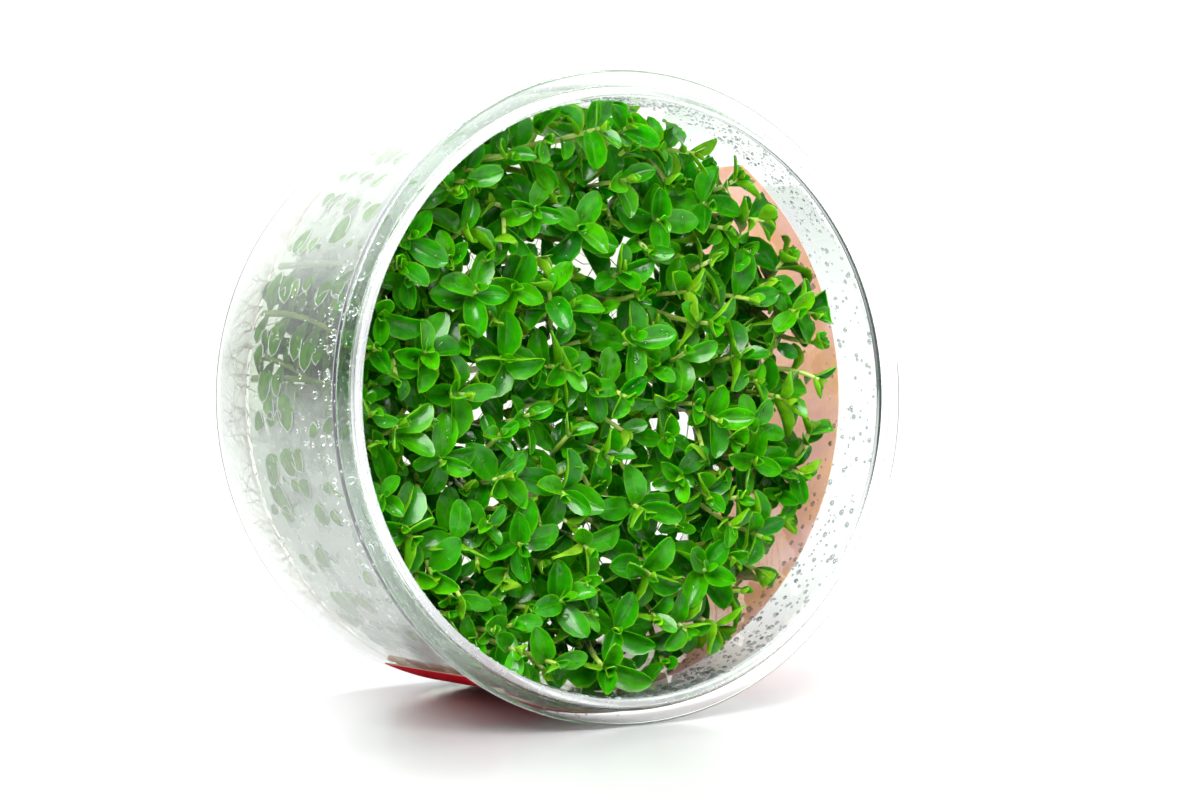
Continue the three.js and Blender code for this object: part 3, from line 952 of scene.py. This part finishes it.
def nearest(shoots, end, spot):
    """The main shoot whose end of this name, its root or its tip, is nearest to the spot."""
    return min(shoots, key=lambda shoot: np.linalg.norm(getattr(shoot.stem, end)[:len(spot)] - spot))


def angle_on(arc, number, count, shift):
    """The angle of one of a count of places along an arc, shifted by a share of the step between them."""
    first, width = arc
    return math.radians(first + width * (number + shift) / count)


def plant_sprigs(shoots, draw):
    """Side shoots, each at the spot with the most room among a number of random spots in the crown."""
    tips = [shoot.stem.tip[:2] for shoot in shoots]
    sprigs = []
    for number in range(SPRIGS):
        best, room = None, -1
        for _ in range(SPRIG_CANDIDATES):
            radius = SPRIG_REACH * math.sqrt(draw.random())
            spot = radius * level(2 * math.pi * draw.random())[:2]
            gap = min(np.linalg.norm(spot - tip) for tip in tips)
            if gap > room:
                best, room = spot, gap
        tips.append(best)
        owner = nearest(shoots, "tip", best)
        foot = owner.stem.at(SPRIG_FOOT + SPRIG_FOOT_SPREAD * draw.random())
        height = crown_height(best[0]) - SPRIG_TOP_GAP - SPRIG_DROP * draw.random()
        sway = SPRIG_SWAY * np.array([draw.gauss(0, 1), draw.gauss(0, 1)])
        middle = np.array([*(foot[:2] * 0.5 + best * 0.5 + sway), foot[2] * 0.5 + height * 0.5])
        vigour = WEAKEST_SPRIG + (1 - WEAKEST_SPRIG) * draw.random()
        stem = Stem(foot, middle, np.array([*best, height]))
        sprigs.append(Shoot(SHOOTS + number, stem, vigour, owner.number))
    return sprigs


def plant_rim_sprigs(shoots, draw):
    """Side shoots close to the wall, from the top round the left to the bottom, with leaves up to the lip."""
    sprigs = []
    for number in range(RIM_SPRIGS):
        side = level(angle_on(RIM_ARC, number, RIM_SPRIGS, RIM_SHIFT * draw.random()))
        tip = spot_at(side, draw.uniform(*RIM_TIP_RADII), draw.uniform(*RIM_TIP_HEIGHTS))
        owner = nearest(shoots, "tip", tip)
        foot = owner.stem.at(SPRIG_FOOT + SPRIG_FOOT_SPREAD * draw.random())
        middle = np.array([*(foot[:2] * 0.3 + tip[:2] * 0.7), foot[2] * 0.5 + tip[2] * 0.5])
        vigour = draw.uniform(*RIM_VIGOUR)
        sprigs.append(Shoot(FIRST_RIM_SPRIG + number, Stem(foot, middle, tip), vigour, owner.number))
    return sprigs


def plant_runners(shoots, draw):
    """Stems that climb the inside of the left wall, with leaves pressed against it."""
    runners = []
    for number in range(RUNNERS):
        side = level(angle_on(RUNNER_ARC, number, RUNNERS, draw.random()))
        along_wall = np.array([-side[1], side[0], 0]) * RUNNER_SWAY * draw.uniform(-1, 1)
        foot = spot_at(side, RUNNER_RADIUS, RUNNER_LOW)
        tip = spot_at(side, RUNNER_RADIUS, draw.uniform(*RUNNER_TIP_HEIGHTS)) + along_wall
        middle = (foot + tip) / 2 + along_wall * draw.uniform(-1, 1) + side
        vigour = draw.uniform(*RUNNER_VIGOUR)
        owner = nearest(shoots, "root", foot)
        runners.append(Shoot(FIRST_RUNNER + number, Stem(foot, middle, tip), vigour, owner.number))
    return runners


def plant_skirt(shoots, draw):
    """Side shoots just inside the runners, leafy from the gel up, that fill the left side with green."""
    skirt = []
    for number in range(SKIRT_SHOOTS):
        side = level(angle_on(SKIRT_ARC, number, SKIRT_SHOOTS, draw.random()))
        foot = spot_at(side, SKIRT_RADIUS, RUNNER_LOW)
        tip = spot_at(side, SKIRT_RADIUS + 1, draw.uniform(*SKIRT_TIP_HEIGHTS))
        sway = np.array([-side[1], side[0], 0]) * draw.uniform(-SKIRT_SWAY, SKIRT_SWAY)
        stem = Stem(foot, (foot + tip) / 2 + sway, tip)
        owner = nearest(shoots, "root", foot)
        skirt.append(Shoot(FIRST_SKIRT + number, stem, SKIRT_VIGOUR, owner.number))
    return skirt


def grow_plant(draw):
    """The main shoots, the side shoots that each belong to one of them, and all their leaves."""
    shoots = [plant_shoot(number) for number in range(SHOOTS)]
    thicket = Thicket(shoots)
    for shoot in shoots:
        for below_tip in OUTER_WHORLS if shoot.radius > OUTER_FROM else INNER_WHORLS:
            thicket.grow(shoot, below_tip, (0, 1, 2, 3), LEAF_CLEARANCE, as_solid=True)
    sprigs = plant_sprigs(shoots, draw) + plant_rim_sprigs(shoots, draw)
    runners = plant_runners(shoots, draw)
    skirt = plant_skirt(shoots, draw)
    side_shoots = sprigs + runners + skirt
    thicket.set_shoots(shoots + side_shoots)
    for sprig in sprigs:
        thicket.grow_pairs(sprig, SPRIG_PAIRS)
    for runner in runners:
        thicket.grow_pairs(runner, np.arange(1, runner.stem.length, RUNNER_PAIR_STEP), pressed=True)
    for shoot in skirt:
        thicket.grow_pairs(shoot, np.arange(1, shoot.stem.length, SKIRT_PAIR_STEP))
    for shoot in shoots + side_shoots:
        thicket.grow(shoot, BUD_PAIR, (0, 2), BUD_CLEARANCE, size=BUD_SIZE, extra_rise=BUD_RISE)
    for shoot in shoots:
        at_left_wall = shoot.radius > OUTER_FROM and shoot.stem.tip[0] < 0
        thicket.grow_pairs(shoot, OLD_PAIRS + OLDEST_PAIRS if at_left_wall else OLD_PAIRS)
    return shoots, side_shoots, thicket.leaves


def leaf_template():
    """A thin closed blade, with x from -1 to 1 across it, y from 0 to 1 along it and z from face to face."""
    bm = bmesh.new()
    bmesh.ops.create_grid(bm, x_segments=4, y_segments=7, size=1)
    bmesh.ops.solidify(bm, geom=bm.faces, thickness=1)
    low = min(vert.co.z for vert in bm.verts)
    high = max(vert.co.z for vert in bm.verts)
    for vert in bm.verts:
        # Rows lie closer together towards the round ends of the blade
        vert.co.y = 0.5 + 0.5 * math.sin(math.pi / 2 * vert.co.y)
        vert.co.z = (vert.co.z - low) / (high - low) * 2 - 1
    bmesh.ops.recalc_face_normals(bm, faces=bm.faces)
    uv = bm.loops.layers.uv.new("leaf")
    for face in bm.faces:
        face.material_index = 2 if face.calc_center_median().z < -0.5 else 0
        for loop in face.loops:
            loop[uv].uv = ((loop.vert.co.x + 1) / 2, loop.vert.co.y)
    return to_mesh(bm, "leaf_template")


def blade_half_width(along):
    """An oval with a short stalk and a blunt point, as a share of the half width."""
    blade = np.sin(math.pi * np.clip(along, 0, 1) ** 1.2) ** 0.55
    stalk = 0.18 * (1 - along)
    return np.maximum(np.maximum(blade, stalk), 0.03)


def choose_form(leaf, draw):
    """How far this leaf curls lengthwise, cups, rolls about its midrib, bends aside and waves."""
    if leaf.pressed:
        return (
            draw.uniform(*PRESSED_CURL),
            draw.uniform(*PRESSED_CUPPING),
            draw.gauss(0, PRESSED_SPREAD),
            draw.gauss(0, PRESSED_SPREAD),
            PRESSED_WAVING,
        )
    curl = draw.uniform(*(OLD_CURL if leaf.age > 2 else YOUNG_CURL))
    return (
        math.copysign(max(abs(curl), LEAST_CURL), curl),
        draw.uniform(*CUPPING),
        draw.gauss(0, ROLL_SPREAD),
        draw.gauss(0, BEND_SPREAD),
        draw.uniform(*WAVING),
    )


def shape_leaf(leaf, blade):
    """Where the points of the flat blade lie on this leaf once it is curled, cupped, rolled and bent."""
    aside, along, face = blade.T
    curl, cup, roll, bend, wave = leaf.form
    across = leaf.across * math.cos(roll) + leaf.up * math.sin(roll)
    up = leaf.up * math.cos(roll) - leaf.across * math.sin(roll)
    turn = curl * along
    spine = np.outer(np.sin(turn) / curl, leaf.ahead) + np.outer((1 - np.cos(turn)) / curl, up)
    spine += np.outer(bend * along ** 2, across)
    normal = np.outer(np.cos(turn), up) - np.outer(np.sin(turn), leaf.ahead)
    lift = cup * leaf.width * aside ** 2 * (0.2 + 0.8 * np.sin(math.pi * along))
    lift += wave * leaf.width * np.sin(9 * along + 2 * aside) * np.abs(aside)
    lift += face * LEAF_THICKNESS / 2 * (1 - 0.5 * np.abs(aside) ** 3)
    half = blade_half_width(along) * leaf.width / 2
    spots = leaf.foot + spine * leaf.length + np.outer(half * aside, across) + normal * lift[:, None]
    # Where it reaches the wall the blade is pressed flat along it, its outer face outermost
    outward = leaf.foot[:2].dot(up[:2]) >= 0
    depth = LEAF_THICKNESS * (1 - face if outward else 1 + face) / 2
    return keep_inside(spots, LEAF_MARGIN + depth)


def keep_inside(spots, margin):
    """Points that reach the wall or the mouth are drawn back inside."""
    kept = np.array(spots, dtype=float)
    kept[..., 2] = np.minimum(kept[..., 2], CUP_HEIGHT - MOUTH_MARGIN)
    radius = np.hypot(kept[..., 0], kept[..., 1])
    limit = inner_radius(kept[..., 2]) - margin
    kept[..., :2] *= np.minimum(1, limit / np.maximum(radius, 0.001))[..., None]
    return kept


def copy_in(bm, template):
    """Adds a template to a bmesh and gives the new points."""
    start = len(bm.verts)
    bm.from_mesh(template)
    bm.verts.ensure_lookup_table()
    return bm.verts[start:]


def add_leaf(bm, template, blade, tone_layer, leaf, draw):
    verts = copy_in(bm, template)
    youth = math.exp(-TONE_AGEING * leaf.age)
    tone = min(1, max(0, OLD_TONE + YOUNG_TONE_GAIN * youth + draw.gauss(0, TONE_SPREAD)))
    leaf.form = choose_form(leaf, draw)
    for vert, spot in zip(verts, shape_leaf(leaf, blade)):
        vert.co = spot
        vert[tone_layer] = tone


def tube_mesh(lines, radius, resolution=0):
    """Round tubes along lines of points, each point with its share of the full radius."""
    data = bpy.data.curves.new("tubes", "CURVE")
    data.dimensions = "3D"
    data.bevel_depth = radius
    data.bevel_resolution = resolution
    data.use_fill_caps = True
    for line in lines:
        spline = data.splines.new("POLY")
        spline.points.add(len(line) - 1)
        for point, (spot, share) in zip(spline.points, line):
            point.co = (*spot, 1)
            point.radius = share
    holder = bpy.data.objects.new("tubes", data)
    mesh = bpy.data.meshes.new_from_object(holder)
    bpy.data.objects.remove(holder)
    return mesh


def stem_line(shoot):
    """Points up a stem, thinner towards its tip."""
    spots = shoot.stem.spaced(STEM_SPANS)
    return [(keep_inside(spot, STEM_MARGIN), 1.1 - 0.5 * i / STEM_SPANS) for i, spot in enumerate(spots)]


def make_shoots(looks, draw):
    shoots, sprigs, leaves = grow_plant(draw)
    template = leaf_template()
    blade = np.array([vert.co for vert in template.vertices])
    for shoot in shoots:
        stems = [shoot] + [sprig for sprig in sprigs if sprig.owner == shoot.number]
        bm = bmesh.new()
        bm.from_mesh(tube_mesh([stem_line(stem) for stem in stems], STEM_RADIUS, resolution=1))
        for face in bm.faces:
            face.material_index = 1
        bm.loops.layers.uv.new("leaf")
        tone_layer = bm.verts.layers.float.new("tone")
        for leaf in leaves:
            if leaf.owner == shoot.number:
                add_leaf(bm, template, blade, tone_layer, leaf, draw)
        bmesh.ops.remove_doubles(bm, verts=bm.verts, dist=0.0005)
        name = f"shoot_{shoot.number + 1:02d}"
        lay_down(bm, f"{name}_foliage", looks, "leaf", name)
    return shoots, leaves


# Small things in and on the cup

def make_roots(shoots, look, draw):
    """Root hairs that wander through the jelly from the foot of each stem."""
    hairs = []
    for shoot in shoots:
        for _ in range(OUTER_HAIRS if shoot.radius > OUTER_FROM else INNER_HAIRS):
            heading = 2 * math.pi * draw.random()
            spot = shoot.stem.root.copy()
            hair = []
            for i in range(HAIR_STEPS + 1):
                spot[2] = min(HAIR_TOP, max(HAIR_FLOOR, spot[2]))
                hair.append((keep_inside(spot, HAIR_MARGIN), 1.2 - i / HAIR_STEPS))
                heading += draw.gauss(0, HAIR_TURN_SPREAD)
                spot += np.array([*(HAIR_STEP * level(heading)[:2]), draw.gauss(-0.35, 0.6)])
            hairs.append(hair)
    # Others grow down the left wall towards the base
    for _ in range(WALL_HAIRS):
        angle = math.radians(draw.uniform(*WALL_HAIR_ANGLES))
        height = HAIR_TOP
        radius = draw.uniform(*WALL_HAIR_RADII)
        lean = draw.gauss(0, WALL_HAIR_LEAN_SPREAD)
        hair = []
        for i in range(WALL_HAIR_STEPS + 1):
            spot = spot_at(level(angle), radius, height)
            hair.append((keep_inside(spot, WALL_HAIR_MARGIN), 1.1 - i / 9))
            lean += draw.gauss(0, WALL_HAIR_TURN_SPREAD)
            angle += lean
            height = max(WALL_HAIR_FLOOR, height - draw.uniform(*WALL_HAIR_DROPS))
        hairs.append(hair)
    bm = bmesh.new()
    bm.from_mesh(tube_mesh(hairs, HAIR_RADIUS))
    lay_down(bm, "root_hairs", [look], "leaf")


def make_menisci(leaves, look):
    """The thin rim of water that gathers where the edge of a pressed leaf meets the wall."""
    along = np.linspace(0.12, 1, 9)
    outline = [(side, share, -1) for side in (-1, 1) for share in (along if side < 0 else along[::-1])]
    rims = []
    for leaf in leaves:
        if leaf.pressed:
            spots = shape_leaf(leaf, np.array(outline))
            radius = np.hypot(spots[:, 0], spots[:, 1])
            limit = inner_radius(spots[:, 2])
            spots[:, :2] *= ((limit - MENISCUS_RADIUS) / radius)[:, None]
            wet = spots[radius > limit - MIST_GAP]
            if len(wet) > 3:
                rims.append([(spot, 1) for spot in wet])
    bm = bmesh.new()
    bm.from_mesh(tube_mesh(rims, MENISCUS_RADIUS))
    lay_down(bm, "leaf_menisci", [look], None)


def drop_template():
    """A closed half ball of radius 1, flat side down."""
    bm = bmesh.new()
    bmesh.ops.create_icosphere(bm, subdivisions=2, radius=1)
    cut = bmesh.ops.bisect_plane(bm, geom=bm.verts[:] + bm.edges[:] + bm.faces[:], plane_co=(0, 0, 0),
                                 plane_no=(0, 0, 1), clear_inner=True)
    rim = [item for item in cut["geom_cut"] if isinstance(item, bmesh.types.BMEdge)]
    bmesh.ops.holes_fill(bm, edges=rim, sides=0)
    bmesh.ops.recalc_face_normals(bm, faces=bm.faces)
    return to_mesh(bm, "drop_template")


def make_drops(name, template, look, drops):
    """A piece of many drops, each with where it sits, the way it faces, its radius and its height."""
    bm = bmesh.new()
    for spot, outward, radius, height in drops:
        turn = outward.to_track_quat("Z", "Y").to_matrix().to_4x4()
        matrix = Matrix.Translation(spot) @ turn @ Matrix.Diagonal((radius, radius, height, 1))
        for vert in copy_in(bm, template):
            vert.co = matrix @ vert.co
    lay_down(bm, name, [look], None)


def wall_drops(zones, draw):
    """Condensed drops on the inside of the wall."""
    for first, last, low, high, count, small, large, steepness in zones:
        for _ in range(count):
            angle = math.radians(draw.uniform(first, last))
            height = draw.uniform(low, high)
            radius = small + (large - small) * draw.random() ** 2.2
            inward = Vector((-math.cos(angle), -math.sin(angle), 0))
            spot = -inward * (inner_radius(height) - DROP_LIFT) + Vector((0, 0, height))
            yield spot, inward, radius, radius * steepness * draw.uniform(0.7, 1.1)


def rim_beads(draw):
    """Beads of water on the flange, beside the lip."""
    for _ in range(RIM_BEADS):
        side = level(math.radians(draw.uniform(*RIM_BEAD_ANGLES)))
        spot = spot_at(side, draw.uniform(*RIM_BEAD_RADII), FLANGE_TOP + DROP_LIFT)
        size = draw.uniform(*RIM_BEAD_SIZES)
        yield Vector(spot), Vector((0, 0, 1)), size, size * RIM_BEAD_STEEPNESS


def leaf_drops(leaves, draw):
    """Tiny drops on the upper faces of the topmost leaves."""
    tops = [leaf for leaf in leaves if leaf.age < 8 and leaf.length > 4]
    for _ in range(LEAF_DROPS):
        leaf = draw.choice(tops)
        along = draw.uniform(*LEAF_DROP_PLACES)
        aside = draw.uniform(-LEAF_DROP_SIDE, LEAF_DROP_SIDE)
        spot = leaf.foot + leaf.ahead * leaf.length * along
        spot = spot + leaf.across * aside * blade_half_width(along) * leaf.width / 2
        radius = LEAF_DROP_LEAST + LEAF_DROP_GAIN * draw.random() ** 2
        spot = spot + leaf.up * (LEAF_THICKNESS / 2 + 0.02 * leaf.width)
        spot = keep_inside(spot, LEAF_DROP_MARGIN)
        yield Vector(spot), Vector(leaf.up), radius, radius * LEAF_DROP_STEEPNESS


# Surroundings

def make_floor(look):
    bm = bmesh.new()
    bmesh.ops.create_grid(bm, x_segments=1, y_segments=1, size=8)
    mesh = to_mesh(bm, "floor")
    mesh.materials.append(look)
    floor = add_object("floor", mesh)
    floor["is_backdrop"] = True


def light_studio():
    """A white room: bright behind the cup and overhead, dim before it and dark low at the back left.

    A soft lamp stands at the upper left, and a strip hangs overhead.
    """
    world = bpy.data.worlds.new("studio")
    world.use_nodes = True
    tree = world.node_tree
    tree.nodes.clear()
    direction = add_node(tree, "ShaderNodeTexCoord").outputs["Generated"]
    axis = add_node(tree, "ShaderNodeVectorMath", {1: (0.0, 0.8, 0.6)}, {0: direction},
                    operation="DOT_PRODUCT")
    place = add_node(tree, "ShaderNodeMapRange", {1: -1.0, 2: 1.0}, {0: axis.outputs["Value"]})
    sky = add_node(tree, "ShaderNodeValToRGB", links={0: place}, stops=[
        (0.1, "#2C2E30"), (0.35, "#5C5E60"), (0.5, "#CCCED0"), (0.62, "#FFFFFF"),
    ])
    # Beyond the sheet the room is dark, low at the back left
    toward = add_node(tree, "ShaderNodeSeparateXYZ", links={0: direction})
    left = add_node(tree, "ShaderNodeMapRange", {1: 0.0, 2: -0.4}, {0: toward.outputs[0]})
    back = add_node(tree, "ShaderNodeMapRange", {1: 0.1, 2: 0.45}, {0: toward.outputs[1]})
    low = add_node(tree, "ShaderNodeMapRange", {1: 0.42, 2: 0.14}, {0: toward.outputs[2]})
    dark = left
    for factor in (back, low):
        dark = add_node(tree, "ShaderNodeMath", links={0: dark, 1: factor}, operation="MULTIPLY")
    dimmed = add_node(tree, "ShaderNodeMix", {7: linear("#161A18")}, {0: dark, 6: sky}, data_type="RGBA")
    background = add_node(tree, "ShaderNodeBackground", {"Strength": 1.5}, {"Color": dimmed.outputs[2]})
    add_node(tree, "ShaderNodeOutputWorld", links={"Surface": background})
    bpy.context.scene.world = world
    for name, place, size, power in LAMPS:
        data = bpy.data.lights.new(name, "AREA")
        data.shape = "RECTANGLE"
        data.size, data.size_y = size
        data.energy = power
        lamp = add_object(name, data)
        lamp.location = place
        lamp.rotation_euler = (lamp.location - VIEW_TARGET).to_track_quat("Z", "Y").to_euler()
    bpy.context.scene.view_settings.view_transform = "Standard"
    # Light needs many bounces to find its way out of the thick clear rims
    cycles = bpy.context.scene.cycles
    cycles.max_bounces = 32
    cycles.transmission_bounces = 28
    cycles.glossy_bounces = 24


def build():
    place_camera()
    draw = random.Random(SEED)
    plastic = clear_plastic_material()
    make_cup(plastic, lip_material())
    make_mist(mist_material())
    make_gel(gel_material("clear_gellan_jelly", 1.0), gel_material("hazy_gellan_jelly", 0.7))
    make_label(label_front_material(), label_back_material())
    upper_face = leaf_material("waxy_leaf_tissue", UPPER_TONES, 1)
    underside = leaf_material("dull_leaf_underside", LOWER_TONES, 0.2)
    shoots, leaves = make_shoots([upper_face, stem_material(), underside], draw)
    make_roots(shoots, root_material(), draw)
    make_menisci(leaves, meniscus_material())
    template = drop_template()
    clear = water_material("clear_dew", "#FFFFFF")
    grey = water_material("grey_dew", "#8A9290")
    make_drops("mouth_condensation", template, grey, wall_drops(MOUTH_DROPS, draw))
    make_drops("left_condensation", template, clear, wall_drops(LEFT_DROPS, draw))
    make_drops("rim_beads", template, clear, rim_beads(draw))
    make_drops("leaf_drops", template, clear, leaf_drops(leaves, draw))
    make_floor(floor_material())
    light_studio()


build()
corners = {"cad": cad_box, "visual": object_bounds()}
{name: [list(corner) for corner in box] for name, box in corners.items()}
